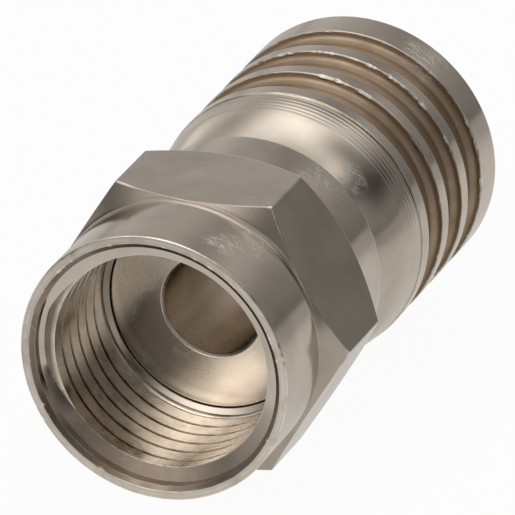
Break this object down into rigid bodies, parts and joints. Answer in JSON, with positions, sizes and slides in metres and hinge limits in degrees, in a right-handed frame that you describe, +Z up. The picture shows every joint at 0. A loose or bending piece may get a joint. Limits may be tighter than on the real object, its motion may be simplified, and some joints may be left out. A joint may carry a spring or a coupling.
{
  "type": "f connector",
  "caption": "Male coaxial plug for a threaded port, with a hexagonal coupling nut that spins on a hollow post and a flared, grooved sleeve that is crimped on the cable.",
  "frame": {"origin": "under the middle of the plug, on the surface that it lies on", "axes": "+Y along the plug's axis from its mouth to the cable end, +Z up, with one flat of the nut up and one down, +X to the right seen from the mouth"},
  "size_m": [0.0128, 0.0218, 0.0111],
  "materials": {
    "nut_nickel": "bright nickel plate over turned brass, lightly scuffed",
    "post_nickel": "nickel plate with turning marks",
    "body_nickel": "bright nickel plate with fine tool rings and nicked edges"
  },
  "bodies": {
    "plug_body": {"inner_post": "post_nickel", "crimp_body": "body_nickel"},
    "nut": {"coupling_nut": "nut_nickel"}
  },
  "joints": [
    {"name": "nut_spin", "type": "hinge", "parent": "plug_body", "child": "nut", "pos_m": [0, -0.002, 0.00556], "axis": [0, 1, 0], "continuous": true}
  ]
}
